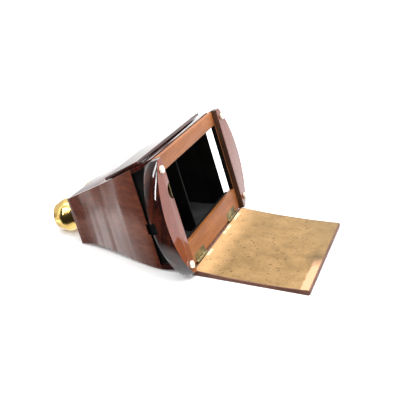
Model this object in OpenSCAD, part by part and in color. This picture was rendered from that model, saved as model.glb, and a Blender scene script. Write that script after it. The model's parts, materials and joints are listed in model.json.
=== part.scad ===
// Box stereoscope: a tapering wooden viewer for stereo cards, standing tipped forward
// on a table with its back door folded down flat.
// The viewer is drawn level, then tipped by set_down(): X runs across it, Y runs along the
// line of sight from the eyepieces (-Y) out to the door (+Y), Z runs up the picture frame.

/* [Picture frame and door] */
// Width of the back door, which closes between the two cheeks
door_w = 180; // [172:1:188]
// Length of the back door, from its hinge line to its free edge
door_len = 120.5; // [119:0.5:122]
// Thickness of the back door
door_t = 5; // [4:0.5:6]
// Height of the picture frame
frame_h = 118; // [116:1:120]
// Width of the frame's top rail
top_rail_w = 15.5; // [13:0.5:17]
// Width of the frame's bottom rail
bottom_rail_w = 23.4; // [21:0.5:25]
// Width of the frame's side stiles
stile_w = 2; // [1.5:0.5:4]
// How far the cheeks stand proud of the frame
cheek_proud = 5.8; // [5.5:0.1:6.5]
// Diameter of the bone feet
foot_d = 7.6; // [7:0.2:9]

/* [Body] */
// Half of the body's width just behind the card slot
wide_half = 91.5; // [90.5:0.5:93]
// Half of the body's width at the eyepieces
narrow_half = 63.5; // [60:0.5:70]
// Thickness of the wooden panels
wall = 4.5; // [3.5:0.5:5]
// Width of the card slot between the frame and the inner walls
slot_w = 7.2; // [6.8:0.2:8]
// How far the viewer is tipped forward, in degrees
tilt = 19.55; // [19:0.05:20]

/* [Eyepieces] */
// Distance between the two eyepieces
eye_gap = 66; // [62:1:70]
// Height of the eyepieces above the foot of the frame
eye_h = 65; // [63:0.5:67]
// Largest diameter of the eyecups
rim_d = 36.2; // [32:0.2:36.2]
// How far the right tube stands pulled out
right_out = 5.5; // [0.5:0.5:13]
// How far the left tube stands pulled out
left_out = 0.5; // [0.5:0.5:13]

/* [Lid] */
// Length of the light lid, from its hinge line to its free edge
lid_len = 49.5; // [48:0.5:51]
// Thickness of the light lid
lid_t = 3.2; // [2.4:0.2:3.4]
// How far the lid stands open, in degrees
lid_ajar = 0.4; // [0.2:0.1:2]

/* [Hidden] */

$fn = 64;
EPS = 0.01;
FAR = 400;           // longer than anything in the viewer
RUN = 0.05;          // radial play of a pin or tube that moves
SEAT = 0.02;         // play of a part that is pressed or glued in

// stance: the door lies flat, so its hinge line sets the height of the whole viewer
hinge_z = -0.8;      // door hinge line, below the foot of the frame
hinge_gap = 0.2;     // the door's inner face lies this far below the hinge line
door_closes = 90 + tilt;
stand_z = door_t + hinge_gap - hinge_z * cos(tilt);

// body outline along Y
front_y = -30;       // front edge of the side panels
back_y = -126;       // eyepiece end
steps = 20;          // flats that each curved panel is bent from
top_front = 113.1;   // top edge at front_y
top_back = 89.8;     // top edge at back_y
top_dip = 0.6;       // hollow of the top between the two
under_front = 5.6;   // underside at front_y
under_back = 38.3;   // underside at back_y
under_lead = 26.3;   // how strongly the underside leaves the front
under_tail = -0.6;   // how flat it runs out at the eyepieces

function along(y) = (front_y - y) / (front_y - back_y);
function half_w(y) = let (s = max(along(y), 0))
  wide_half + (narrow_half - wide_half) * (0.5 * s + 0.5 * s * s * (3 - 2 * s));
function top_z(y) = let (s = along(y))
  top_front + (top_back - top_front) * s - (s > 0 ? top_dip * sin(180 * s) : 0);
function under_curve(s) =
  (2 * pow(s, 3) - 3 * s * s + 1) * under_front + (pow(s, 3) - 2 * s * s + s) * under_lead
  + (3 * s * s - 2 * pow(s, 3)) * under_back + (pow(s, 3) - s * s) * under_tail;
function under_fair(d) = let (m = under_lead / (front_y - back_y), span = frame_back_y - front_y)
  under_front - m * d + m * d * d / (2 * span);
function under_z(y) = y > front_y ? under_fair(y - front_y) : under_curve(along(y));
function body_y(i) = front_y + (back_y - front_y) * i / steps;
function mouth_y(i) = frame_back_y + (front_y - frame_back_y) * i / 4;

// picture frame
frame_t = 5.4;
frame_back_y = -frame_t;
inner_front_y = frame_back_y - slot_w;
lining_t = 1.4;      // blackened inner walls
paper_t = 0.8;       // black paper on floor and roof
cheek_x = door_w / 2;
door_play = 0.4;

// cheeks: a slice of a drum whose axis runs along Y
drum_x = cheek_x - 50.3;
drum_z = 60.1;
drum_edge_r = 85.3;  // radius at the fullest line of the rim
cheek_foot = -2;
cheek_rear = -11;
cheek_lip = -5.4;    // rear face at the inner edge, so that it leads the card in
bulge_r = 30;        // roundness of the rim from front to back
bulge_y = (cheek_proud + cheek_rear) / 2;
cheek_top = 119;
cheek_top_slope = 18;
cheek_crest = -1;    // the top is flat in front of this line and slopes away behind it
notch_x = cheek_x + 0.5;
notch_z = 84.6;
notch_r = 8.2;
catch_t = 0.9;       // sheet of the catch plate
catch_screw_x = cheek_x + 3.6;
catch_screw_z = notch_z - 3;
catch_screw_r = 0.8;
grip_x = 107;        // slanting finger hole that straddles the card slot
grip_z = 54.2;
grip_h = 11;
grip_slant = 16.6;
grip_y0 = front_y - 2.4;
grip_y1 = -5.2;

// bone feet
foot_x = cheek_x + 9.5;
foot_low = 9;
foot_high = 109;
foot_gap = 0.3;
foot_t = 2.6;
pin_r = 1.4;

// door hinges
hinge_x = 57;
leaf_len = 30;
leaf_w = 9;
leaf_t = 1.2;
knuckle_r = 1.9;
hinge_pin_r = 0.8;
joint_gap = 0.3;     // end play between knuckles
lip_drop = 3.6;      // lip under the bottom rail that closes the gap behind the hinges
lip_back = 2.3;
frame_screw_z = 6.4; // screws above the hinge line, in the frame
door_screw_y = 5.6;  // screws in front of the hinge line, in the door
lip_w = 1.2;         // bare wood round the door's lining
inlay_t = 0.7;
inlay_y = 2.6;       // the lining starts this far from the hinge line
door_start = 0.9;
leaf_top = hinge_gap + inlay_t + SEAT;   // the door's leaves lie under the lining
screw_r = 1;
screw_head_r = 1.9;

// lid hinges
lid_half_back = 82;  // half of the lid's width at its hinge
lid_half_front = 91.5;
lid_skew = 1.7;      // the free edge is cut a little out of square
lid_y = -65.5;
lid_rise = 0.8;      // hinge line and underside of the lid above the top panel
lid_hinge_x = 55;
lid_leaf_len = 22;
lid_leaf_w = 6.5;
lid_leaf_t = 0.8;
lid_knuckle_r = 1.4;
lid_pin_r = 0.6;
window_x = 73;
window_y0 = -57;
window_y1 = -22;
mirror_t = 1.8;
mirror_start = 11;
mirror_len = 30;
lid_tilt = atan((top_z(lid_y + lid_len) - top_z(lid_y)) / lid_len) + lid_ajar;

// eyepieces
board_t = 6;
tube_r = 13.5;
tube_bore_r = 12.6;
sleeve_r = 14.6;
flange_r = 19.5;
flange_t = 1.6;
tube_in = board_t + 16;   // length of tube inside the body when it is pushed right in
sleeve_out = 4;      // sleeve outside the board
cup_foot = sleeve_out + 0.5;
cup_len = 24;
cup_mouth_r = 13.5;
rim_r = rim_d / 2;
swell = 9;           // roundness of the cup's widest part
cup_socket = 4.5;
lens_seat = cup_foot + cup_socket + 1.5;
lens_r = 12;
lens_edge_t = 1.6;
lens_dome_r = 48;
lens_sag = lens_dome_r - sqrt(lens_dome_r * lens_dome_r - lens_r * lens_r);
ring_t = 1.6;

// the viewer's middle along the table, so that the origin lies under the centre of its box
cup_reach = back_y - cup_foot - cup_len - right_out;
rim_reach = cup_reach * cos(tilt) - (eye_h + cup_mouth_r) * sin(tilt);
door_reach = -hinge_z * sin(tilt) + door_len;
shift_y = -(rim_reach + door_reach) / 2;

walnut = "#5a2a1c";
mahogany = "#b4663c";
black = "#141414";
bone = "#e8dfc4";
gold = "#c9a046";
tan_paper = "#c6a16a";
silver = "#c9ccd0";
clear = "#cfe3e8";

// ---------- placing ----------

module set_down() {
  translate([0, shift_y, stand_z]) rotate([tilt, 0, 0]) children();
}

module trimmed_level() {
  difference() {
    set_down() children();
    translate([-FAR / 2, -FAR / 2, -FAR]) cube(FAR);
  }
}

module along_sight(x, y, z) {
  translate([x, y, z]) rotate([-90, 0, 0]) children();
}

module side_cut(w) {
  // a profile in Y and Z, spread w wide across the viewer
  translate([-w / 2, 0, 0]) rotate([90, 0, 90]) linear_extrude(w) children();
}

module pair(x) {
  translate([x, 0, 0]) children();
  translate([-x, 0, 0]) children();
}

// ---------- body outlines ----------

function reversed(a) = [for (i = [len(a) - 1:-1:0]) a[i]];
function other_side(a) = reversed([for (p = a) [-p[0], p[1]]]);
function stations() = concat([for (i = [0:3]) mouth_y(i)], [for (i = [0:steps]) body_y(i)]);

// points along the right wall, inset from the body's outline, from its front edge to y_end
function wall_line(inset, y_end) = concat(
  [for (i = [0:steps]) if (body_y(i) > y_end) [half_w(body_y(i)) - inset, body_y(i)]],
  [[half_w(y_end) - inset, y_end]]);
function roof_line(drop) = [for (y = stations()) [y, top_z(y) - drop]];
function floor_line(lift) = [for (y = stations()) [y, under_z(y) + lift]];

module ribbon(a, b) {
  polygon(concat(a, reversed(b)));
}

module both_sides(half) {
  polygon(concat(half, other_side(half)));
}

module profile(roof_drop, floor_lift) {
  // body seen from the side, from the frame to the eyepieces
  ribbon(roof_line(roof_drop), floor_line(floor_lift));
}

module roof_strip(from, to) {
  ribbon(roof_line(from), roof_line(to));
}

module floor_strip(from, to) {
  ribbon(floor_line(from), floor_line(to));
}

module plan_prism() {
  translate([0, 0, -20]) linear_extrude(FAR) children();
}

// ---------- wooden body ----------

module side_shell() {
  intersection() {
    plan_prism() ribbon(wall_line(0, back_y), wall_line(wall, back_y));
    side_cut(FAR) profile(0, 0);
  }
}

module grip_cut() {
  // slanting finger hole through the front edge of the side panel and the rear of the cheek
  translate([grip_x, grip_y0, grip_z]) rotate([0, -grip_slant, 0])
    translate([-25, 0, -grip_h / 2]) cube([50, grip_y1 - grip_y0, grip_h]);
}

module side_panel() {
  difference() {
    side_shell();
    grip_cut();
  }
}

module side_panel_right() {
  color(walnut) trimmed_level() side_panel();
}

module side_panel_left() {
  color(walnut) trimmed_level() mirror([1, 0, 0]) side_panel();
}

module panel_plan() {
  // between the side panels, over the whole width in front of them, and between the cheeks
  behind_cheek = cheek_rear - 0.2;
  both_sides(concat(
    [[cheek_x, frame_back_y], [cheek_x, behind_cheek], [wide_half, behind_cheek], [wide_half, front_y]],
    wall_line(wall, back_y)));
}

module hinge_groove() {
  // room for the lid's knuckles and sunk leaves
  translate([0, lid_y, top_z(lid_y) + lid_rise]) rotate([lid_tilt - lid_ajar, 0, 0]) {
    pair(lid_hinge_x) {
      groove = lid_leaf_len / 2 + 0.4;
      translate([-groove, -lid_knuckle_r - 0.4, -lid_knuckle_r - 0.4])
        cube([2 * groove, 2 * lid_knuckle_r + 0.8, 6]);
      translate([-groove, 0, -lid_rise - lid_leaf_t - SEAT]) cube([2 * groove, lid_leaf_w + 0.3, 6]);
    }
  }
}

module top_panel() {
  color(walnut) set_down() difference() {
    intersection() {
      plan_prism() panel_plan();
      side_cut(FAR) roof_strip(0, wall);
    }
    translate([-window_x, window_y0, 50]) cube([2 * window_x, window_y1 - window_y0, 100]);
    hinge_groove();
  }
}

module bottom_panel() {
  color(walnut) trimmed_level() intersection() {
    plan_prism() panel_plan();
    side_cut(FAR) floor_strip(0, wall);
  }
}

module eyepiece_board() {
  color(walnut) set_down() difference() {
    intersection() {
      plan_prism() translate([-80, back_y]) square([160, board_t]);
      plan_prism() both_sides(wall_line(wall, back_y));
      side_cut(FAR) profile(wall, wall);
    }
    pair(eye_gap / 2) along_sight(0, back_y - 1, eye_h) cylinder(r = sleeve_r + SEAT, h = board_t + 2);
  }
}

// ---------- blackened inside ----------

inner_end_y = back_y + board_t + SEAT;

module inner_wall() {
  outer_x = wide_half - wall - SEAT;
  inner_x = wide_half - wall - lining_t;
  intersection() {
    plan_prism() ribbon(
      concat([[outer_x, inner_front_y]], wall_line(wall + SEAT, inner_end_y)),
      concat([[inner_x, inner_front_y]], wall_line(wall + lining_t, inner_end_y)));
    side_cut(FAR) profile(wall + paper_t, wall + paper_t);
  }
}

module inner_wall_right() {
  color(black) set_down() inner_wall();
}

module inner_wall_left() {
  color(black) set_down() mirror([1, 0, 0]) inner_wall();
}

module chamber_plan() {
  both_sides(concat([[wide_half - wall - SEAT, inner_front_y]], wall_line(wall + SEAT, inner_end_y)));
}

module floor_lining() {
  color(black) set_down() intersection() {
    plan_prism() chamber_plan();
    side_cut(FAR) floor_strip(wall, wall + paper_t);
  }
}

module roof_lining() {
  color(black) set_down() difference() {
    intersection() {
      plan_prism() chamber_plan();
      side_cut(FAR) roof_strip(wall, wall + paper_t);
    }
    translate([-window_x, window_y0, 50]) cube([2 * window_x, window_y1 - window_y0, 100]);
  }
}

module septum() {
  septum_t = 2.4;
  septum_front = -21;
  color(black) set_down() intersection() {
    translate([-septum_t / 2, back_y + board_t + SEAT, 0])
      cube([septum_t, septum_front - back_y - board_t, FAR]);
    side_cut(FAR) profile(wall + paper_t, wall + paper_t);
  }
}

module runner(z0, z1) {
  // black strip that guides one edge of the card
  reach = cheek_x;
  intersection() {
    translate([-reach, inner_front_y + SEAT, z0]) cube([2 * reach, slot_w - 2 * SEAT, z1 - z0]);
    side_cut(FAR) profile(wall + SEAT, wall + SEAT);
  }
}

module slide_runner_top() {
  color(black) set_down() runner(frame_h - top_rail_w + 2.5, FAR);
}

module slide_runner_bottom() {
  color(black) set_down() runner(-20, bottom_rail_w - 2.5);
}

// ---------- picture frame ----------

module rail(z0, z1) {
  translate([-cheek_x, frame_back_y, z0]) cube([door_w, frame_t, z1 - z0]);
}

module frame_leaf_seat() {
  // sunk place for the hinge leaf, and room for the knuckles
  seat = leaf_len / 2 + SEAT;
  translate([-seat, -leaf_t - SEAT, hinge_z]) cube([2 * seat, 10, leaf_w + SEAT]);
  translate([-seat - 0.3, -knuckle_r - 0.3, hinge_z - 5]) cube([2 * seat + 0.6, 10, 5 + knuckle_r + 0.3]);
  for (x = [-1, 1]) {
    along_sight(x * leaf_len * 0.3, -leaf_t - 3, hinge_z + frame_screw_z) cylinder(r = screw_r + SEAT, h = 6);
  }
}

module frame_top_rail() {
  color(mahogany) set_down() rail(frame_h - top_rail_w, frame_h);
}

module frame_bottom_rail() {
  color(mahogany) set_down() difference() {
    union() {
      rail(0, bottom_rail_w);
      translate([-cheek_x, frame_back_y, -lip_drop]) cube([door_w, frame_t - lip_back, lip_drop + 1]);
    }
    pair(hinge_x) frame_leaf_seat();
  }
}

module stile() {
  translate([cheek_x - stile_w, frame_back_y, bottom_rail_w])
    cube([stile_w, frame_t, frame_h - top_rail_w - bottom_rail_w]);
}

module frame_stile_right() {
  color(mahogany) set_down() stile();
}

module frame_stile_left() {
  color(mahogany) set_down() mirror([1, 0, 0]) stile();
}

// ---------- cheeks ----------

module drum_slice() {
  // round-rimmed drum; only the slice outside the door is kept
  bulge_x = drum_edge_r - bulge_r;
  depth = cheek_proud - cheek_rear;
  translate([drum_x, 0, drum_z]) rotate([-90, 0, 0]) rotate_extrude($fn = 96) intersection() {
    translate([0, cheek_rear]) square([drum_edge_r + 1, depth]);
    union() {
      translate([0, cheek_rear]) square([bulge_x + 20, depth]);
      translate([bulge_x, bulge_y]) circle(r = bulge_r);
    }
  }
}

module cheek_limits() {
  translate([cheek_x, -FAR / 2, cheek_foot]) cube([60, FAR, FAR]);
}

module lead_in() {
  // slanted rear face that lets the card slide in
  slope = (cheek_rear - cheek_lip) / 35;
  translate([0, 0, -FAR / 2]) linear_extrude(FAR) polygon([
    [cheek_x - 1, cheek_lip - slope],
    [cheek_x + 40, cheek_lip + 40 * slope],
    [cheek_x + 40, -60],
    [cheek_x - 1, -60]]);
}

module cheek_blank() {
  difference() {
    intersection() {
      drum_slice();
      cheek_limits();
    }
    lead_in();
    translate([0, -100, cheek_top]) cube([FAR, 200, 60]);
    translate([0, cheek_crest, cheek_top]) rotate([cheek_top_slope, 0, 0])
      translate([0, -100, 0]) cube([FAR, 100, 60]);
    grip_cut();
    for (z = [foot_low, foot_high]) {
      along_sight(foot_x, cheek_proud - 5, z) cylinder(r = pin_r + SEAT, h = 10);
    }
  }
}

module thumb_notch() {
  along_sight(notch_x, 0, notch_z) cylinder(r = notch_r, h = 20);
  along_sight(catch_screw_x, -3.4, catch_screw_z) cylinder(r = catch_screw_r + SEAT, h = 10);
}

module cheek_right() {
  color(walnut) set_down() difference() {
    cheek_blank();
    thumb_notch();
  }
}

module cheek_left() {
  color(walnut) set_down() mirror([1, 0, 0]) cheek_blank();
}

module foot_disc() {
  edge = 0.7;
  rotate_extrude() {
    difference() {
      union() {
        square([foot_d / 2, foot_t - edge]);
        square([foot_d / 2 - edge, foot_t]);
        translate([foot_d / 2 - edge, foot_t - edge]) circle(r = edge);
      }
      translate([-10, -10]) square([10, 20]);
      translate([0, -1]) square([pin_r + SEAT, 2.4]);
    }
  }
}

module at_feet() {
  for (x = [-foot_x, foot_x]) {
    for (z = [foot_low, foot_high]) {
      along_sight(x, cheek_proud, z) children();
    }
  }
}

module bone_feet() {
  color(bone) set_down() at_feet() translate([0, 0, foot_gap]) foot_disc();
}

module bone_foot_pins() {
  color(gold) set_down() at_feet() translate([0, 0, -4.9]) cylinder(r = pin_r, h = 6.4);
}

module catch_plate() {
  // bent plate that closes the inner side of the thumb notch, with a latch hole
  half = notch_r - 0.7;
  color(gold) set_down() difference() {
    union() {
      translate([cheek_x + 0.1, SEAT, notch_z - half]) cube([catch_t, cheek_proud - 0.5, 2 * half]);
      translate([cheek_x + 0.1, SEAT, notch_z - 6]) cube([6, catch_t, 6]);
    }
    translate([cheek_x - 1, 2.7, notch_z + 3]) rotate([0, 90, 0]) cylinder(r = 1.9, h = 4);
    along_sight(catch_screw_x, -1, catch_screw_z) cylinder(r = catch_screw_r + SEAT, h = 4);
  }
}

module catch_screw() {
  color(gold) set_down() along_sight(catch_screw_x, catch_t + 2 * SEAT, catch_screw_z) {
    cylinder(r = 1.5, h = 0.7);
    translate([0, 0, -3.6]) cylinder(r = catch_screw_r, h = 3.9);
  }
}

// ---------- door ----------

module on_table() {
  // origin on the door hinge line, door lying along +Y
  translate([0, shift_y - hinge_z * sin(tilt), stand_z + hinge_z * cos(tilt)]) children();
}

module door_leaf_seat() {
  seat = leaf_len / 2 + SEAT;
  translate([-seat, -1, -leaf_top - leaf_t - SEAT]) cube([2 * seat, leaf_w + 1 + SEAT, 10]);
  translate([-seat - 0.3, -5, -knuckle_r - 0.3]) cube([2 * seat + 0.6, 5 + knuckle_r + 0.3, 10]);
  for (x = [-1, 1]) {
    translate([x * leaf_len * 0.3, door_screw_y, -leaf_top - 2.6]) cylinder(r = screw_r + SEAT, h = 10);
  }
}

module inlay_plan(grow) {
  half = door_w / 2 - door_play - lip_w + grow;
  translate([-half, inlay_y - grow]) square([2 * half, door_len - lip_w - inlay_y + 2 * grow]);
}

module door_panel() {
  color(walnut) on_table() difference() {
    half = door_w / 2 - door_play;
    translate([-half, door_start, -hinge_gap - door_t]) cube([2 * half, door_len - door_start, door_t]);
    translate([0, 0, -hinge_gap - inlay_t]) linear_extrude(10) inlay_plan(SEAT);
    pair(hinge_x) door_leaf_seat();
  }
}

module door_lining() {
  color(tan_paper) on_table() translate([0, 0, -hinge_gap - inlay_t + SEAT])
    linear_extrude(inlay_t - SEAT) inlay_plan(0);
}

module knuckle(x0, x1, r, bore) {
  translate([x0, 0, 0]) rotate([0, 90, 0]) difference() {
    cylinder(r = r, h = x1 - x0);
    translate([0, 0, -1]) cylinder(r = bore, h = x1 - x0 + 2);
  }
}

module leaf_holes(t, w, len) {
  // countersunk holes through a leaf that lies in the XY plane under z = 0
  for (x = [-1, 1]) {
    translate([x * len * 0.3, w, 0]) {
      translate([0, 0, -t - 1]) cylinder(r = screw_r + SEAT, h = t + 2);
      translate([0, 0, -0.9]) cylinder(r1 = screw_r, r2 = screw_head_r, h = 0.92);
    }
  }
}

module frame_leaf() {
  // stands on the frame's face, knuckles at both ends
  third = leaf_len / 3;
  difference() {
    union() {
      rotate([90, 0, 0]) translate([-leaf_len / 2, 0, 0]) cube([leaf_len, leaf_w, leaf_t]);
    }
    rotate([90, 0, 0]) mirror([0, 0, 1]) leaf_holes(leaf_t, frame_screw_z, leaf_len);
    translate([-third / 2 - joint_gap, 0, 0]) rotate([0, 90, 0])
      cylinder(r = knuckle_r + joint_gap, h = third + 2 * joint_gap);
    translate([-leaf_len, 0, 0]) rotate([0, 90, 0]) cylinder(r = hinge_pin_r + RUN, h = 2 * leaf_len);
  }
  for (s = [-1, 1]) {
    knuckle(s * leaf_len / 3 - third / 2, s * leaf_len / 3 + third / 2, knuckle_r, hinge_pin_r + RUN);
  }
}

module door_leaf() {
  third = leaf_len / 3;
  difference() {
    translate([-leaf_len / 2, 0, -leaf_top - leaf_t]) cube([leaf_len, leaf_w, leaf_t]);
    translate([0, 0, -leaf_top]) leaf_holes(leaf_t, door_screw_y, leaf_len);
    for (s = [-1, 1]) {
      translate([s * leaf_len / 3 - third / 2 - joint_gap, 0, 0]) rotate([0, 90, 0])
        cylinder(r = knuckle_r + joint_gap, h = third + 2 * joint_gap);
    }
    translate([-leaf_len, 0, 0]) rotate([0, 90, 0]) cylinder(r = hinge_pin_r + RUN, h = 2 * leaf_len);
  }
  knuckle(-third / 2 + joint_gap, third / 2 - joint_gap, knuckle_r, hinge_pin_r + RUN);
}

module door_hinge_frame_leaves() {
  color(gold) set_down() translate([0, 0, hinge_z]) pair(hinge_x) frame_leaf();
}

module door_hinge_door_leaves() {
  color(gold) on_table() pair(hinge_x) door_leaf();
}

module door_hinge_pins() {
  color(gold) on_table() pair(hinge_x) translate([-leaf_len / 2 - 0.4, 0, 0]) rotate([0, 90, 0])
    cylinder(r = hinge_pin_r, h = leaf_len + 0.8);
}

module countersunk_screw(len) {
  // head's flat top at z = 0
  difference() {
    union() {
      translate([0, 0, -0.85]) cylinder(r1 = screw_r - 0.05, r2 = screw_head_r - 0.05, h = 0.85);
      translate([0, 0, -len]) cylinder(r = screw_r - 0.05, h = len - 0.5);
    }
    translate([-3, -0.25, -0.4]) cube([6, 0.5, 1]);
  }
}

module door_hinge_frame_screws() {
  color(gold) set_down() translate([0, 0, hinge_z]) pair(hinge_x) {
    for (x = [-1, 1]) {
      translate([x * leaf_len * 0.3, 0, frame_screw_z]) rotate([-90, 0, 0]) countersunk_screw(3.8);
    }
  }
}

module door_hinge_door_screws() {
  color(gold) on_table() pair(hinge_x) {
    for (x = [-1, 1]) {
      translate([x * leaf_len * 0.3, door_screw_y, -leaf_top]) countersunk_screw(2.4);
    }
  }
}

// ---------- light lid ----------

module at_lid() {
  // origin on the lid's hinge line, lid lying along +Y with its underside at z = 0
  set_down() translate([0, lid_y, top_z(lid_y) + lid_rise]) rotate([lid_tilt, 0, 0]) children();
}

module lid_panel() {
  start = lid_knuckle_r + 0.3;
  color(walnut) at_lid() difference() {
    linear_extrude(lid_t) polygon([
      [lid_half_back, start],
      [lid_half_front, lid_len - lid_skew],
      [-lid_half_front, lid_len + lid_skew],
      [-lid_half_back, start]]);
    pair(lid_hinge_x) {
      seat = lid_leaf_len / 2 + SEAT;
      translate([-seat, 0, -1]) cube([2 * seat, lid_leaf_w + SEAT, 1 + lid_leaf_t + SEAT]);
    }
  }
}

module lid_mirror() {
  side = window_x - 2;
  color(silver) at_lid() translate([-side, mirror_start, -mirror_t])
    cube([2 * side, mirror_len, mirror_t - SEAT]);
}

module lid_leaf(side) {
  // side 1: leaf sunk in the lid; side -1: leaf sunk in the body
  third = lid_leaf_len / 3;
  z0 = side > 0 ? 0 : -lid_rise - lid_leaf_t;
  own = side > 0 ? [0] : [-1, 1];
  others = side > 0 ? [-1, 1] : [0];
  difference() {
    translate([-lid_leaf_len / 2, 0, z0]) cube([lid_leaf_len, lid_leaf_w, lid_leaf_t]);
    for (s = others) {
      translate([s * third - third / 2 - 0.2, 0, 0]) rotate([0, 90, 0])
        cylinder(r = lid_knuckle_r + 0.2, h = third + 0.4);
    }
    translate([-lid_leaf_len, 0, 0]) rotate([0, 90, 0]) cylinder(r = lid_pin_r + RUN, h = 2 * lid_leaf_len);
  }
  for (s = own) {
    knuckle(s * third - third / 2 + 0.1, s * third + third / 2 - 0.1, lid_knuckle_r, lid_pin_r + RUN);
  }
}

module lid_hinge_body_leaves() {
  color(gold) set_down() translate([0, lid_y, top_z(lid_y) + lid_rise])
    rotate([lid_tilt - lid_ajar, 0, 0]) pair(lid_hinge_x) lid_leaf(-1);
}

module lid_hinge_lid_leaves() {
  color(gold) at_lid() pair(lid_hinge_x) lid_leaf(1);
}

module lid_hinge_pins() {
  color(gold) at_lid() pair(lid_hinge_x) translate([-lid_leaf_len / 2, 0, 0]) rotate([0, 90, 0])
    cylinder(r = lid_pin_r, h = lid_leaf_len);
}

// ---------- eyepieces ----------

module at_eye(x, out) {
  // turned parts: the profile's x is the radius, its y runs outward from the board's face
  set_down() translate([x, back_y - out, eye_h]) rotate([90, 0, 0]) rotate_extrude($fn = 96) children();
}

module flange_profile() {
  difference() {
    union() {
      translate([0, -board_t - 2]) square([sleeve_r, board_t + 2 + sleeve_out]);
      square([flange_r - 0.8, flange_t]);
      translate([flange_r - 0.8, 0]) square([0.8, flange_t - 0.8]);
      translate([flange_r - 0.8, flange_t - 0.8]) circle(r = 0.8);
    }
    translate([-1, -board_t - 3]) square([tube_r + RUN + 1, board_t + 4 + sleeve_out]);
  }
}

module flange(x) {
  color(gold) difference() {
    at_eye(x, 0) flange_profile();
    flange_screw_seats(x);
  }
}

module flange_screw_seats(x) {
  set_down() for (a = [45:90:315]) {
    translate([x + 17 * cos(a), back_y, eye_h + 17 * sin(a)]) rotate([90, 0, 0]) {
      translate([0, 0, -1]) cylinder(r = 0.8 + SEAT, h = 4);
      translate([0, 0, 0.8]) cylinder(r1 = 0.8, r2 = 1.65, h = 0.85);
    }
  }
}

module eyepiece_flange_right() {
  flange(eye_gap / 2);
}

module eyepiece_flange_left() {
  flange(-eye_gap / 2);
}

module flange_screws() {
  color(gold) set_down() for (x = [-eye_gap / 2, eye_gap / 2], a = [45:90:315]) {
    translate([x + 17 * cos(a), back_y, eye_h + 17 * sin(a)]) rotate([90, 0, 0]) {
      cylinder(r = 0.8, h = 0.9);
      translate([0, 0, 0.82]) cylinder(r1 = 0.75, r2 = 1.55, h = 0.78);
    }
  }
}

module focus_tube(x, out) {
  tip = cup_foot + cup_socket - SEAT;
  color(gold) at_eye(x, out) translate([tube_bore_r, -tube_in]) square([tube_r - tube_bore_r, tube_in + tip]);
}

module focus_tube_right() {
  focus_tube(eye_gap / 2, right_out);
}

module focus_tube_left() {
  focus_tube(-eye_gap / 2, left_out);
}

module eyecup_profile() {
  // turned cup: it swells from a collar over the tube to a rounded middle, then tapers to its
  // mouth at the angle of the tilt, so that it can lie along the table
  tip = cup_foot + cup_len;
  middle = cup_foot + cup_len / 2;
  round_r = rim_r - swell;
  cone_r = round_r + swell * cos(tilt);
  cone_l = swell * sin(tilt);
  foot_r = cone_r - (middle - cone_l - cup_foot) * tan(tilt);
  difference() {
    union() {
      translate([round_r, middle]) circle(r = swell);
      polygon([
        [0, cup_foot],
        [foot_r, cup_foot],
        [cone_r, middle - cone_l],
        [cone_r, middle + cone_l],
        [foot_r + 0.2, tip - 0.6],
        [cup_mouth_r, tip],
        [0, tip]]);
    }
    // socket for the tube, lens seat and the open mouth of the cup
    translate([-1, cup_foot - 1]) square([tube_r + SEAT + 1, cup_socket + 1]);
    translate([-20, cup_foot - 1]) square([20, cup_len + 2]);
    translate([-1, cup_foot]) square([lens_r - 1.2 + 1, cup_len + 1]);
    translate([-1, lens_seat]) square([lens_r + SEAT + 1, cup_len]);
  }
}

module eyecup(x, out) {
  color(gold) at_eye(x, out) eyecup_profile();
}

module eyecup_right() {
  eyecup(eye_gap / 2, right_out);
}

module eyecup_left() {
  eyecup(-eye_gap / 2, left_out);
}

module lens(x, out) {
  // magnifying lens: two shallow domes and a short cylindrical edge
  color(clear) at_eye(x, out) translate([0, lens_seat + lens_sag]) intersection() {
    translate([0, -lens_sag]) square([lens_r, lens_edge_t + 2 * lens_sag]);
    translate([0, lens_edge_t + lens_sag - lens_dome_r]) circle(r = lens_dome_r, $fn = 256);
    translate([0, lens_dome_r - lens_sag]) circle(r = lens_dome_r, $fn = 256);
  }
}

module lens_right() {
  lens(eye_gap / 2, right_out);
}

module lens_left() {
  lens(-eye_gap / 2, left_out);
}

module lens_ring(x, out) {
  color(gold) at_eye(x, out) translate([lens_r - ring_t, lens_seat + lens_edge_t + 2 * lens_sag + SEAT])
    square([ring_t, ring_t]);
}

module lens_ring_right() {
  lens_ring(eye_gap / 2, right_out);
}

module lens_ring_left() {
  lens_ring(-eye_gap / 2, left_out);
}

side_panel_right();
side_panel_left();
top_panel();
bottom_panel();
eyepiece_board();
septum();
inner_wall_right();
inner_wall_left();
floor_lining();
roof_lining();
slide_runner_top();
slide_runner_bottom();
frame_top_rail();
frame_bottom_rail();
frame_stile_right();
frame_stile_left();
cheek_right();
cheek_left();
bone_feet();
bone_foot_pins();
catch_plate();
catch_screw();
door_panel();
door_lining();
door_hinge_frame_leaves();
door_hinge_door_leaves();
door_hinge_pins();
door_hinge_frame_screws();
door_hinge_door_screws();
lid_panel();
lid_mirror();
lid_hinge_body_leaves();
lid_hinge_lid_leaves();
lid_hinge_pins();
eyepiece_flange_right();
eyepiece_flange_left();
flange_screws();
focus_tube_right();
focus_tube_left();
eyecup_right();
eyecup_left();
lens_right();
lens_left();
lens_ring_right();
lens_ring_left();
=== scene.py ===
"""Looks of the box stereoscope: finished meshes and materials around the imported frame."""

import json
import math

import bmesh
import bpy
from mathutils import Matrix, Vector

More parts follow.
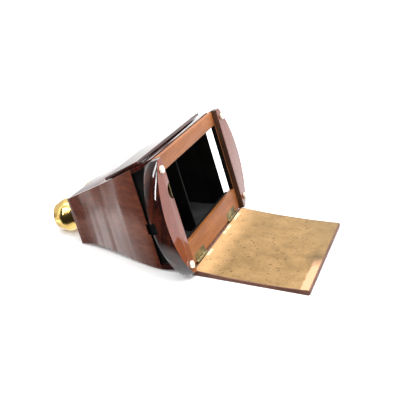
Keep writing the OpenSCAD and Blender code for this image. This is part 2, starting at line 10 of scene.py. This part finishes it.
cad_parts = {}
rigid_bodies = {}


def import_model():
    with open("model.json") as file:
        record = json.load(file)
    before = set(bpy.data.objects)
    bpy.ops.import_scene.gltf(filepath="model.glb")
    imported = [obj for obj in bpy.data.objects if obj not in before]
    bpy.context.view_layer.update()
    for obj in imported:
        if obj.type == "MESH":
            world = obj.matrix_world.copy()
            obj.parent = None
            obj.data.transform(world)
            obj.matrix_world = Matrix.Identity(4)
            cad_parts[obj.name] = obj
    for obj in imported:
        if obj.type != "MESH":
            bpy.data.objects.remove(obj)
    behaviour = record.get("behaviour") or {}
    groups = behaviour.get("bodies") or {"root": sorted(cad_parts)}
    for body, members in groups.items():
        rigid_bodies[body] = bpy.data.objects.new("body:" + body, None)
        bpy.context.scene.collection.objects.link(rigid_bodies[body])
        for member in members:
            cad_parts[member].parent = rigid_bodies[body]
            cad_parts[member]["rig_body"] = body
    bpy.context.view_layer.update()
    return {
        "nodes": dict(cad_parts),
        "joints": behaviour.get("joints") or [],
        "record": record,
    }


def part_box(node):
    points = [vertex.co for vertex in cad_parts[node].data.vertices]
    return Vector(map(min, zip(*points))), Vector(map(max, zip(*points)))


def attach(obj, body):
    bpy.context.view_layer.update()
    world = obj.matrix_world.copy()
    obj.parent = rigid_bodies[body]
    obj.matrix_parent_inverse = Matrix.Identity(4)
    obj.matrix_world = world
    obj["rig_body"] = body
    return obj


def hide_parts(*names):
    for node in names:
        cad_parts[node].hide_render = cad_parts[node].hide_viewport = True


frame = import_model()

MM = 0.001
NODES = frame["nodes"]
JOINTS = {j["name"]: j for j in frame["joints"]}
BODY_OF = {n: o["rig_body"] for n, o in NODES.items()}

# The viewer stands tipped forward by TILT about its door hinge line. LEVEL turns a point of
# the level viewer (X across, Y along the sight line, Z up the picture frame, origin at the
# foot of the frame, in millimetres) into the row frame in metres.
TILT = math.radians(19.55)
HINGE_BELOW_FRAME = -0.8
HINGE = Vector(JOINTS["door_hinge"]["pos_m"])
LEVEL = (
    Matrix.Translation(HINGE)
    @ Matrix.Rotation(TILT, 4, "X")
    @ Matrix.Scale(MM, 4)
    @ Matrix.Translation((0, 0, -HINGE_BELOW_FRAME))
)


# ---------------------------------------------------------------- node helpers


# the colour mix node's inputs for factor, first and second colour, and its colour result
MIX_INPUTS = (0, 6, 7)
MIX_RESULT = 2


class Shader:
    """A material's node tree, with short calls for what the materials below share."""

    def __init__(self, name):
        self.material = bpy.data.materials.new(name)
        self.material.use_nodes = True
        self.tree = self.material.node_tree
        self.tree.nodes.clear()
        self.bsdf = self.node("ShaderNodeBsdfPrincipled")
        out = self.node("ShaderNodeOutputMaterial")
        self.link(self.bsdf.outputs[0], out.inputs["Surface"])
        self.coords = self.node("ShaderNodeTexCoord").outputs["Object"]

    def node(self, kind, **values):
        made = self.tree.nodes.new(kind)
        for key, value in values.items():
            setattr(made, key, value)
        return made

    def link(self, a, b):
        self.tree.links.new(a, b)

    def set(self, **values):
        for key, value in values.items():
            self.bsdf.inputs[key.replace("_", " ")].default_value = value

    def along(self, rotation, scale):
        """Object coordinates turned by rotation, then stretched by scale per axis."""
        turn = self.node("ShaderNodeMapping", vector_type="POINT")
        turn.inputs["Rotation"].default_value = rotation
        self.link(self.coords, turn.inputs["Vector"])
        grow = self.node("ShaderNodeMapping", vector_type="POINT")
        grow.inputs["Scale"].default_value = scale
        self.link(turn.outputs[0], grow.inputs["Vector"])
        return grow.outputs[0]

    def noise(self, where, scale=1.0, detail=4.0, rough=0.55, distortion=0.0):
        made = self.node("ShaderNodeTexNoise")
        self.link(where, made.inputs["Vector"])
        made.inputs["Scale"].default_value = scale
        made.inputs["Detail"].default_value = detail
        made.inputs["Roughness"].default_value = rough
        made.inputs["Distortion"].default_value = distortion
        return made.outputs["Fac"]

    def spots(self, where, scale):
        """Distance to the nearest of scattered points."""
        made = self.node("ShaderNodeTexVoronoi")
        self.link(where, made.inputs["Vector"])
        made.inputs["Scale"].default_value = scale
        return made.outputs["Distance"]

    def ramp(self, value, stops):
        """stops: (position, colour or grey)."""
        made = self.node("ShaderNodeValToRGB")
        steps = made.color_ramp.elements
        while len(steps) < len(stops):
            steps.new(0.5)
        for step, (position, colour) in zip(steps, stops):
            step.position = position
            grey = isinstance(colour, (int, float))
            step.color = (colour, colour, colour, 1) if grey else (*colour, 1)
        self.link(value, made.inputs["Fac"])
        return made.outputs["Color"]

    def mix(self, a, b, share):
        """Colour a, a socket or a plain colour, turned towards the plain colour b by share."""
        made = self.node("ShaderNodeMix", data_type="RGBA", blend_type="MIX")
        factor, first, second = (made.inputs[i] for i in MIX_INPUTS)
        self.link(share, factor)
        if isinstance(a, bpy.types.NodeSocket):
            self.link(a, first)
        else:
            first.default_value = (*a, 1)
        second.default_value = (*b, 1)
        return made.outputs[MIX_RESULT]

    def math(self, kind, a, b=0.0):
        made = self.node("ShaderNodeMath", operation=kind)
        for index, value in enumerate((a, b)):
            if isinstance(value, bpy.types.NodeSocket):
                self.link(value, made.inputs[index])
            else:
                made.inputs[index].default_value = value
        return made.outputs[0]

    def bump(self, height, strength, distance, coat=False):
        """Relief on the body, or on the coat over it."""
        made = self.node("ShaderNodeBump")
        made.inputs["Strength"].default_value = strength
        made.inputs["Distance"].default_value = distance
        self.link(height, made.inputs["Height"])
        self.link(made.outputs[0], self.bsdf.inputs["Coat Normal" if coat else "Normal"])

    def sum(self, *parts):
        """Sockets added up, each a (socket, weight) pair."""
        total = None
        for socket, weight in parts:
            share = self.math("MULTIPLY", socket, weight)
            total = self.math("ADD", total, share) if total else share
        return total


# ---------------------------------------------------------------- materials

GRAIN_X = (0, 0, 0)
GRAIN_Y = (0, 0, math.radians(90))
GRAIN_SIGHT = (-TILT, 0, 0)
UPRIGHT = (0, math.radians(90), 0)

WORN_SCALE = 26
WORN_SHARE = 0.35
PORE_DARKNESS = 0.42
COAT_IOR = 1.6


def wood(name, tones, turn, fineness=420, pores=0.35, polish=True, dents=1.2, haze=0.0):
    """Mahogany whose grain runs along X after turn; tones are dark, middle and light.
    fineness is the streaks' scale across the grain, pores how much the pores darken it,
    dents how uneven the polish lies and haze how much it blurs what it mirrors."""
    dark, middle, light = tones
    s = Shader(name)
    figure = s.noise(s.along(turn, (9, 38, 38)), 1.0, 5, 0.6, 0.6)
    streak = s.noise(s.along(turn, (14, fineness, fineness)), 1.0, 6, 0.62, 0.25)
    worn = s.noise(s.coords, WORN_SCALE, 4, 0.6)
    both = s.sum((figure, 0.5), (streak, 0.5), (s.math("SUBTRACT", worn, 0.5), WORN_SHARE))
    colour = s.ramp(both, [(0.32, dark), (0.5, middle), (0.68, light)])
    dash = s.noise(s.along(turn, (190, 2300, 2300)), 1.0, 2, 0.5)
    pore = s.ramp(dash, [(0.60, 0.0), (0.68, 1.0)])
    shaded = s.mix(colour, [c * PORE_DARKNESS for c in dark], s.math("MULTIPLY", pore, pores))
    s.link(shaded, s.bsdf.inputs["Base Color"])
    if polish:
        s.set(Roughness=0.5, Specular_IOR_Level=0.04, Coat_Weight=1.0, Coat_IOR=COAT_IOR)
        blur = s.ramp(worn, [(0.3, 0.02 + haze), (0.75, 0.09 + haze)])
        s.link(blur, s.bsdf.inputs["Coat Roughness"])
        dent = s.noise(s.coords, 17, 3, 0.5)
        s.bump(s.sum((streak, 0.1 * dents), (dent, dents)), 0.10, 0.0006, coat=True)
    else:
        s.link(s.ramp(worn, [(0.3, 0.42), (0.7, 0.58)]), s.bsdf.inputs["Roughness"])
        s.bump(s.math("SUBTRACT", streak, s.math("MULTIPLY", pore, 0.5)), 0.25, 0.0003)
    return s.material


def matt_black(name, grey, dust):
    """Old matt black paint or paper with a little dust and rubbing."""
    s = Shader(name)
    cloud = s.noise(s.coords, 45, 5, 0.6)
    speck = s.ramp(s.spots(s.coords, 420), [(0.0, 1.0), (0.07, 0.0)])
    base = s.ramp(cloud, [(0.35, grey * 0.6), (0.7, grey * 1.5)])
    colour = s.mix(base, (dust, dust, dust * 0.9), s.math("MULTIPLY", speck, cloud))
    s.link(colour, s.bsdf.inputs["Base Color"])
    s.link(s.ramp(cloud, [(0.3, 0.62), (0.7, 0.8)]), s.bsdf.inputs["Roughness"])
    s.set(Specular_IOR_Level=0.12)
    s.bump(s.noise(s.coords, 900, 3), 0.2, 0.0002)
    return s.material


def brass(name, bright, dull, rough, wear_scale):
    """Brass with tarnish in clouds and fine scratches round it."""
    s = Shader(name)
    cloud = s.noise(s.coords, wear_scale, 5, 0.62, 0.3)
    fine = s.noise(s.coords, wear_scale * 14, 4, 0.6)
    uneven = s.math("ADD", cloud, s.math("MULTIPLY", fine, 0.2))
    tarnish = s.ramp(uneven, [(0.48, 0.0), (0.78, 1.0)])
    s.link(s.mix(bright, dull, tarnish), s.bsdf.inputs["Base Color"])
    s.link(s.ramp(tarnish, [(0.0, rough), (1.0, rough + 0.16)]), s.bsdf.inputs["Roughness"])
    s.set(Metallic=1.0)
    s.bump(fine, 0.06, 0.0001)
    return s.material


def bone(name):
    """Turned bone with fine streaks, yellowed between them."""
    s = Shader(name)
    streak = s.noise(s.along(GRAIN_SIGHT, (500, 60, 500)), 1.0, 4, 0.6)
    cloud = s.noise(s.coords, 160, 3)
    tones = [(0.35, (0.62, 0.49, 0.27)), (0.62, (0.87, 0.81, 0.66)), (0.9, (0.93, 0.89, 0.79))]
    colour = s.ramp(s.math("ADD", streak, s.math("MULTIPLY", cloud, 0.3)), tones)
    s.link(colour, s.bsdf.inputs["Base Color"])
    s.set(Roughness=0.28, Coat_Weight=0.4, Coat_Roughness=0.15)
    s.bump(streak, 0.08, 0.0002)
    return s.material


PAPER = ((0.165, 0.095, 0.030), (0.262, 0.156, 0.055), (0.350, 0.217, 0.088))
PAPER_OLIVE = (0.165, 0.110, 0.042)
PAPER_FRESH = (0.60, 0.355, 0.155)
PAPER_PINK = (0.66, 0.370, 0.210)
PAPER_RUBBED = (0.80, 0.66, 0.42)
PAPER_STAIN = (0.085, 0.052, 0.020)
SPOT_BROWN = (0.085, 0.038, 0.012)
DASH_BROWN = (0.13, 0.070, 0.024)
STAIN_OUT, STAIN_NEAR = 0.92, 0.56
# scale of the scatter, size of a spot in it, how dark, and a shift of the pattern
SPOT_KINDS = ((78, 0.16, 1.0, 0), (120, 0.19, 0.95, 3), (210, 0.25, 0.9, 7))


def tan_lining(name):
    """Aged tan paper: clouded and spotted with brown, olive where the light reached it,
    fresher beside the hinges, with a pinkish band, a stain and rubbed strips."""
    s = Shader(name)
    lo, hi = (Vector(c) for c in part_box("door_lining"))
    cloud = s.noise(s.coords, 22, 6, 0.62, 0.4)
    blotch = s.noise(s.coords, 75, 4, 0.6, 0.3)
    fibre = s.noise(s.coords, 420, 5, 0.65)
    weave = s.sum((cloud, 0.45), (blotch, 0.30), (fibre, 0.25))
    colour = s.ramp(weave, list(zip((0.36, 0.5, 0.64), PAPER)))

    # out runs from the hinge to the outer edge, near from the far side to the near side
    place = s.node("ShaderNodeSeparateXYZ")
    s.link(s.coords, place.inputs[0])
    span = hi - lo
    out = s.math("MULTIPLY", s.math("SUBTRACT", place.outputs["Y"], lo.y), 1 / span.y)
    near = s.math("MULTIPLY", s.math("SUBTRACT", place.outputs["X"], lo.x), 1 / span.x)
    stray = s.math("MULTIPLY", s.math("SUBTRACT", cloud, 0.5), 0.34)
    ragged = s.math("MULTIPLY", s.math("SUBTRACT", blotch, 0.5), 0.05)

    def off(value, middle):
        return s.math("ABSOLUTE", s.math("SUBTRACT", value, middle))

    stray_out = s.math("ADD", out, stray)
    aged = s.math("SUBTRACT", stray_out, s.math("MULTIPLY", near, 0.7))
    colour = s.mix(colour, PAPER_OLIVE, s.ramp(aged, [(0.45, 0.0), (0.95, 0.55)]))
    colour = s.mix(colour, PAPER_FRESH, s.ramp(stray_out, [(0.05, 0.9), (0.20, 0.0)]))
    band = s.ramp(s.math("ADD", out, ragged), [(0.915, 0.0), (0.928, 1.0)])
    band_end = s.ramp(s.math("ADD", near, stray), [(0.56, 0.0), (0.66, 0.9)])
    colour = s.mix(colour, PAPER_PINK, s.math("MULTIPLY", band, band_end))
    strip = s.ramp(out, [(0.022, 1.0), (0.034, 0.0)])
    broken = s.ramp(s.noise(s.along(GRAIN_X, (38, 4, 4)), 1.0, 2), [(0.50, 0.0), (0.56, 1.0)])
    colour = s.mix(colour, PAPER_RUBBED, s.math("MULTIPLY", strip, broken))
    from_stain = s.math("ADD", off(out, STAIN_OUT), off(near, STAIN_NEAR))
    stain = s.ramp(s.math("ADD", from_stain, stray), [(0.02, 0.75), (0.15, 0.0)])
    colour = s.mix(colour, PAPER_STAIN, stain)

    middle = s.ramp(off(out, 0.45), [(0.1, 1.0), (0.5, 0.45)])
    for scale, size, share, shift in SPOT_KINDS:
        moved = s.node("ShaderNodeMapping")
        moved.inputs["Location"].default_value = (shift * 1.7, shift * 0.9, 0)
        s.link(s.coords, moved.inputs["Vector"])
        where = moved.outputs[0]
        dot = s.ramp(s.spots(where, scale), [(size * 0.45, 1.0), (size, 0.0)])
        some = s.ramp(s.noise(where, scale * 0.4, 2), [(0.42, 0.0), (0.48, 1.0)])
        here = s.math("MULTIPLY", s.math("MULTIPLY", dot, some), s.math("MULTIPLY", middle, share))
        colour = s.mix(colour, SPOT_BROWN, here)
    dash = s.ramp(s.noise(s.along((0, 0, 0.3), (240, 900, 240)), 1.0, 2), [(0.66, 0.0), (0.72, 0.6)])
    colour = s.mix(colour, DASH_BROWN, s.math("MULTIPLY", dash, middle))
    s.link(colour, s.bsdf.inputs["Base Color"])
    s.link(s.ramp(fibre, [(0.3, 0.62), (0.7, 0.8)]), s.bsdf.inputs["Roughness"])
    s.set(Specular_IOR_Level=0.3)
    s.bump(s.math("ADD", fibre, cloud), 0.25, 0.0004)
    return s.material


def glass(name):
    """Clear glass with faint smears."""
    s = Shader(name)
    smear = s.noise(s.coords, 60, 4)
    s.link(s.ramp(smear, [(0.4, 0.02), (0.8, 0.09)]), s.bsdf.inputs["Roughness"])
    tint = s.ramp(smear, [(0.2, (0.93, 0.97, 0.97)), (0.8, (0.98, 1, 1))])
    s.link(tint, s.bsdf.inputs["Base Color"])
    s.set(IOR=1.52, Transmission_Weight=1.0)
    return s.material


def mirror_glass(name):
    """Old silvering, dull in spots."""
    s = Shader(name)
    spots = s.noise(s.coords, 90, 5, 0.65)
    silver = s.ramp(spots, [(0.62, (0.78, 0.79, 0.78)), (0.78, (0.32, 0.30, 0.26))])
    s.link(silver, s.bsdf.inputs["Base Color"])
    s.link(s.ramp(spots, [(0.6, 0.03), (0.8, 0.3)]), s.bsdf.inputs["Roughness"])
    s.set(Metallic=1.0)
    return s.material


# woods: dark, middle and light tone
VENEER = ((0.010, 0.0008, 0.0005), (0.036, 0.0032, 0.0012), (0.115, 0.015, 0.0040))
# cheek inner sides: unpolished, and painted darker and browner than the cheek face, painted shade where
# they stand beside the frame
CHEEK_INNER_PAINTED_SHADE = ((0.030, 0.011, 0.005), (0.070, 0.028, 0.012), (0.120, 0.052, 0.024))
SIDE_VENEER = ((0.040, 0.0080, 0.0035), (0.090, 0.0190, 0.0070), (0.150, 0.0400, 0.0140))
# cheek rims: the cheek's wood painted far darker than its front face, painted shade for the dim side
# towards the camera
RIM_PAINTED_SHADE = ((0.003, 0.0003, 0.0002), (0.010, 0.0008, 0.0004), (0.055, 0.0080, 0.0015))
CHEEK_FACE = ((0.12, 0.013, 0.001), (0.17, 0.021, 0.002), (0.24, 0.038, 0.004))
FRAME_WOOD = ((0.17, 0.045, 0.008), (0.30, 0.096, 0.020), (0.39, 0.135, 0.035))
EDGE_WOOD = ((0.050, 0.014, 0.008), (0.125, 0.044, 0.024), (0.210, 0.090, 0.054))
# metals: bright and tarnished
OLD_BRASS = ((0.36, 0.29, 0.13), (0.10, 0.085, 0.045))
POLISHED_BRASS = ((0.83, 0.57, 0.19), (0.48, 0.30, 0.085))

MATERIALS = {
    "veneer": wood("polished_veneer", VENEER, GRAIN_Y),
    "veneer_cross": wood("polished_veneer_across", VENEER, GRAIN_X),
    "veneer_side": wood("polished_side_veneer", SIDE_VENEER, GRAIN_Y, dents=0.12, haze=0.08),
    # the cheek rim material carries the rim's painted shade
    "veneer_rim_painted_shade": wood("polished_cheek_rim_painted_shade", RIM_PAINTED_SHADE, UPRIGHT, 170, 0.1),
    # the cheek inner side material is unpolished and painted darker for its shade
    "cheek_inner": wood("cheek_inner_side_painted_shade", CHEEK_INNER_PAINTED_SHADE, UPRIGHT, 380, 0.5, polish=False),
    "cheek_face": wood("polished_cheek_face", CHEEK_FACE, UPRIGHT),
    "frame": wood("waxed_mahogany", FRAME_WOOD, GRAIN_X, 520, 0.75, polish=False),
    "frame_up": wood("waxed_mahogany_upright", FRAME_WOOD, UPRIGHT, 520, 0.75, polish=False),
    "edge": wood("worn_edge_wood", EDGE_WOOD, GRAIN_Y, 300, 0.6, polish=False),
    "black_paint": matt_black("matt_black_paint", 0.006, 0.05),
    "black_paper": matt_black("matt_black_paper", 0.026, 0.10),
    "bone": bone("turned_bone"),
    "old_brass": brass("dull_old_brass", *OLD_BRASS, 0.36, 90),
    "polished_brass": brass("polished_brass", *POLISHED_BRASS, 0.10, 60),
    "lens_glass": glass("lens_glass"),
    "mirror": mirror_glass("mirror_glass"),
    "tan_lining": tan_lining("aged_tan_paper"),
}


# ---------------------------------------------------------------- mesh helpers


def paint(obj, material):
    obj.data.materials.clear()
    obj.data.materials.append(MATERIALS[material])


def finish_piece(obj, node, material):
    """Hand a new piece to the frame: it stands for one CAD node and rides on its body."""
    paint(obj, material)
    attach(obj, BODY_OF[node])
    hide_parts(node)
    return obj


def object_from(name, bm, smooth=True):
    """A new object in the scene from a bmesh, which is used up."""
    mesh = bpy.data.meshes.new(name)
    bm.to_mesh(mesh)
    bm.free()
    for face in mesh.polygons:
        face.use_smooth = smooth
    obj = bpy.data.objects.new(name, mesh)
    bpy.context.scene.collection.objects.link(obj)
    return obj


def soften(obj, width_mm, segments=3, angle=28):
    """Rounded edges with even shading on the flats."""
    bevel = obj.modifiers.new("edges", "BEVEL")
    bevel.width = width_mm * MM
    bevel.segments = segments
    bevel.limit_method = "ANGLE"
    bevel.angle_limit = math.radians(angle)
    bevel.harden_normals = True
    bevel.use_clamp_overlap = True
    return obj


JOIN = 2e-6


def joined(node, flat):
    """A CAD node's mesh with its triangles joined into faces where they turn less than
    flat degrees."""
    bm = bmesh.new()
    bm.from_mesh(NODES[node].data)
    bmesh.ops.remove_doubles(bm, verts=bm.verts, dist=JOIN)
    bmesh.ops.dissolve_limit(bm, angle_limit=math.radians(flat), verts=bm.verts, edges=bm.edges)
    return bm


def refined(node, material, edge_mm=0.35, segments=2, angle=28, parts=(), flat=0.4):
    """A finished copy of a CAD node: joined triangles, rounded edges, smooth curves.
    parts: (material, test) pairs; test takes a face's centre and normal in LEVEL's frame."""
    obj = object_from(node + "_finished", joined(node, flat))
    soften(obj, edge_mm, segments, angle)
    finish_piece(obj, node, material)
    to_level = LEVEL.inverted()
    turn = to_level.to_3x3().normalized()
    for index, (name, test) in enumerate(parts):
        obj.data.materials.append(MATERIALS[name])
        for face in obj.data.polygons:
            if test(to_level @ face.center, turn @ face.normal):
                face.material_index = index + 1
    return obj


# ---------------------------------------------------------------- pieces


def faces_front(centre, normal):
    return normal.y > 0.9


def faces_inward(centre, normal):
    return normal.x * centre.x < 0 and abs(normal.x) > 0.9


def make_woodwork():
    for side in ("right", "left"):
        # the side panels' front end faces, down in the card slot, are made matt black as painted shade of
        # the slot; their inward faces get the chamber's black paint
        refined("side_panel_" + side, "veneer_side", 0.6, 3,
                parts=(("black_paint", faces_front), ("black_paint", faces_inward)), flat=0.02)
        refined("cheek_" + side, "veneer_rim_painted_shade", 1.3, 4,
                parts=(("cheek_face", faces_front), ("cheek_inner", faces_inward)))
        refined("frame_stile_" + side, "frame_up", 0.3,
                parts=(("black_paint", faces_inward),))
    refined("top_panel", "veneer_cross", 0.4)
    refined("bottom_panel", "veneer_cross", 0.4)
    refined("eyepiece_board", "veneer_cross", 0.4)
    refined("frame_top_rail", "frame", 0.8, 3)
    refined("frame_bottom_rail", "frame", 0.3)
    refined("lid_panel", "veneer_cross", 0.5, 3)


DOOR_SAG = 1.6 * MM
DOOR_BOW_START = 9 * MM
DOOR_CORNER = 2.2 * MM
DOOR_UNDERSIDE = 1.5 * MM
DOOR_SLICES = 18
LINING_INSET = 0.9 * MM
TOUCHING = 1e-4


def bowed(node, material, edge_mm, corner, thick):
    """A door piece with rounded outer corners whose upper side sags a little in the middle,
    as an old board does; a thick board keeps its flat underside."""
    lo, hi = (Vector(c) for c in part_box(node))
    bm = joined(node, 0.4)
    outer_corners = [
        e for e in bm.edges
        if all(v.co.y > hi.y - TOUCHING and abs(v.co.x) > hi.x - TOUCHING for v in e.verts)
    ]
    bmesh.ops.bevel(bm, geom=outer_corners, offset=corner, segments=5, affect="EDGES", profile=0.5)
    length = hi.y - lo.y
    for i in range(1, DOOR_SLICES):
        cut = (0, lo.y + length * i / DOOR_SLICES, 0)
        bmesh.ops.bisect_plane(bm, geom=bm.verts[:] + bm.edges[:] + bm.faces[:], dist=1e-7,
                               plane_co=cut, plane_no=(0, 1, 0))
    start = HINGE.y + DOOR_BOW_START
    for v in bm.verts:
        share = (v.co.y - start) / (hi.y - start)
        if share > 0 and (not thick or v.co.z > lo.z + DOOR_UNDERSIDE):
            v.co.z -= DOOR_SAG * 4 * share * (1 - share)
    obj = object_from(node + "_finished", bm)
    soften(obj, edge_mm, 3)
    return finish_piece(obj, node, material)


def make_door():
    bowed("door_panel", "edge", 0.5, DOOR_CORNER, True)
    bowed("door_lining", "tan_lining", 0.12, DOOR_CORNER - LINING_INSET, False)


def make_brasswork():
    for side in ("right", "left"):
        for part in ("eyepiece_flange_", "focus_tube_", "eyecup_", "lens_ring_"):
            refined(part + side, "polished_brass", 0.25, 2, 35)
    for node in ("door_hinge_frame_leaves", "door_hinge_door_leaves", "catch_plate"):
        refined(node, "old_brass", 0.18, 2, 35)
    refined("bone_feet", "bone", 0.3, 3, 35)


def paint_the_rest():
    """CAD nodes whose shape is right keep it and get their material."""
    slots = {p["node"]: p["material_slot"] for p in frame["record"]["subparts"]}
    by_slot = {
        "black_paint": "black_paint", "black_paper": "black_paper", "bone": "bone",
        "old_brass": "old_brass", "polished_brass": "polished_brass",
        "lens_glass": "lens_glass", "mirror": "mirror", "tan_lining": "tan_lining",
        "polished_mahogany": "veneer", "frame_mahogany": "frame",
    }
    for name, obj in NODES.items():
        paint(obj, by_slot[slots[name]])


# ---------------------------------------------------------------- studio


def area_light(name, place, aim, size, power):
    data = bpy.data.lights.new(name, "AREA")
    data.shape = "RECTANGLE"
    data.size, data.size_y = size
    data.energy = power
    obj = bpy.data.objects.new(name, data)
    obj.location = place
    obj.rotation_mode = "QUATERNION"
    obj.rotation_quaternion = (Vector(aim) - Vector(place)).to_track_quat("-Z", "Y")
    bpy.context.scene.collection.objects.link(obj)


def make_floor():
    """A plain pale table top, which the polish does not mirror: the world stands for it."""
    bm = bmesh.new()
    bmesh.ops.create_grid(bm, x_segments=1, y_segments=1, size=6)
    floor = object_from("floor", bm, smooth=False)
    s = Shader("white_sweep")
    grain = s.noise(s.coords, 3, 2)
    s.link(s.ramp(grain, [(0.0, 0.93), (1.0, 0.95)]), s.bsdf.inputs["Base Color"])
    s.set(Roughness=0.9, Specular_IOR_Level=0.1)
    s.set(Emission_Color=(1, 1, 1, 1), Emission_Strength=0.12)
    floor.data.materials.append(s.material)
    floor.visible_glossy = False


def sideways(degrees):
    """Level direction at an angle from +X towards +Y."""
    return (math.cos(math.radians(degrees)), math.sin(math.radians(degrees)), 0)


NEAR_SIDE = sideways(12)
LEFT_SIDE = sideways(-90)
STRIP_SIDE = sideways(-70.5)
STRIP_REACH = 7.0
STRIP_GAIN = 1.7
WORLD_GAIN = 1.75


def make_world():
    """White to the eye. What the polish mirrors is a white table and backdrop with a dim room
    on the near side, a dark gap over the table's left edge and one tall bright strip."""
    world = bpy.data.worlds.new("studio")
    bpy.context.scene.world = world
    world.use_nodes = True
    tree = world.node_tree
    tree.nodes.clear()

    def node(kind, **values):
        made = tree.nodes.new(kind)
        for key, value in values.items():
            setattr(made, key, value)
        return made

    def feed(made, *values):
        for index, value in enumerate(values):
            if isinstance(value, bpy.types.NodeSocket):
                tree.links.new(value, made.inputs[index])
            else:
                made.inputs[index].default_value = value
        return made

    def calc(kind, *values):
        return feed(node("ShaderNodeMath", operation=kind), *values).outputs[0]

    def ramp(value, stops):
        made = feed(node("ShaderNodeValToRGB"), value)
        steps = made.color_ramp.elements
        while len(steps) < len(stops):
            steps.new(0.5)
        for step, (position, grey) in zip(steps, stops):
            step.position = position
            step.color = (grey, grey, grey, 1)
        return made.outputs["Color"]

    direction = node("ShaderNodeTexCoord").outputs["Generated"]
    flat = feed(node("ShaderNodeVectorMath", operation="MULTIPLY"), direction, (1, 1, 0)).outputs[0]
    heading = feed(node("ShaderNodeVectorMath", operation="NORMALIZE"), flat).outputs[0]
    height = feed(node("ShaderNodeSeparateXYZ"), direction).outputs["Z"]
    down = calc("MULTIPLY", height, -1.0)

    def facing(side):
        return feed(node("ShaderNodeVectorMath", operation="DOT_PRODUCT"), heading, side).outputs["Value"]

    near_side = ramp(facing(NEAR_SIDE), [(0.30, 1.0), (0.62, 0.03)])
    table = ramp(down, [(0.70, 0.0), (0.86, 1.0)])
    ceiling = ramp(height, [(0.62, 0.0), (0.92, 0.8)])
    room = calc("MAXIMUM", calc("MAXIMUM", near_side, table), ceiling)
    left_side = ramp(facing(STRIP_SIDE), [(0.80, 0.0), (0.93, 1.0)])
    under_edge = ramp(down, [(0.02, 0.0), (0.10, 1.0), (0.470, 1.0), (0.510, 0.0)])
    gap = calc("MULTIPLY", calc("MULTIPLY", left_side, under_edge), 0.75)
    room = calc("MULTIPLY", room, calc("SUBTRACT", 1.0, gap))
    around = calc("MULTIPLY_ADD", facing(LEFT_SIDE), 0.5, 0.5)
    sides = ramp(around, [(0.25, 0.80), (0.60, 0.75), (0.85, 0.75), (0.95, 0.60)])
    reach = 1.0 - math.cos(math.radians(STRIP_REACH))
    from_strip = calc("DIVIDE", calc("SUBTRACT", 1.0, facing(STRIP_SIDE)), reach)
    strip = calc("POWER", calc("MAXIMUM", calc("SUBTRACT", 1.0, from_strip), 0.0), 3.0)
    strip = calc("MULTIPLY", strip, calc("SUBTRACT", 1.0, calc("MULTIPLY", gap, 0.5)))
    lit = calc("MULTIPLY_ADD", strip, STRIP_GAIN, calc("MULTIPLY", room, sides))
    seen = feed(node("ShaderNodeBackground"), (1, 1, 1, 1), 1.0)
    studio = feed(node("ShaderNodeBackground"), lit, WORLD_GAIN)
    pick = node("ShaderNodeMixShader")
    tree.links.new(node("ShaderNodeLightPath").outputs["Is Camera Ray"], pick.inputs[0])
    tree.links.new(studio.outputs[0], pick.inputs[1])
    tree.links.new(seen.outputs[0], pick.inputs[2])
    tree.links.new(pick.outputs[0], node("ShaderNodeOutputWorld").inputs["Surface"])


NEAR_CHEEK = (0.1, 0, 0.08)


def make_lights():
    area_light("overhead", (-0.25, 0.15, 1.4), (0, 0, 0), (1.6, 1.4), 30)
    area_light("tall_strip", (1.13, -0.34, 0.84), NEAR_CHEEK, (0.085, 1.0), 6)
    area_light("high_strip", (0.70, -0.42, 1.10), NEAR_CHEEK, (0.09, 0.6), 3)


def make_camera():
    """Yaw from +Y towards +X, pitch and roll, and the way to it from the picture frame's foot."""
    yaw, pitch, roll = -1.8701, -0.3809, 0.0376
    away = Vector((0.8121, 0.2292, 0.37852))
    level = math.cos(pitch)
    sight = Vector((math.sin(yaw) * level, math.cos(yaw) * level, math.sin(pitch)))
    flat_right = Vector((math.cos(yaw), -math.sin(yaw), 0))
    flat_up = flat_right.cross(sight)
    right = flat_right * math.cos(roll) + flat_up * math.sin(roll)
    up = flat_up * math.cos(roll) - flat_right * math.sin(roll)
    turn = Matrix((right, up, -sight)).transposed().to_4x4()
    frame_foot = LEVEL @ Vector((0, 0, 0))
    data = bpy.data.cameras.new("camera")
    data.sensor_width = 36.0
    data.lens = 76.12
    obj = bpy.data.objects.new("camera", data)
    obj.matrix_world = Matrix.Translation(frame_foot + away) @ turn
    bpy.context.scene.collection.objects.link(obj)
    bpy.context.scene.camera = obj


paint_the_rest()
make_woodwork()
make_door()
make_brasswork()
make_floor()
make_world()
make_lights()
make_camera()
bpy.context.scene.view_settings.view_transform = "Standard"
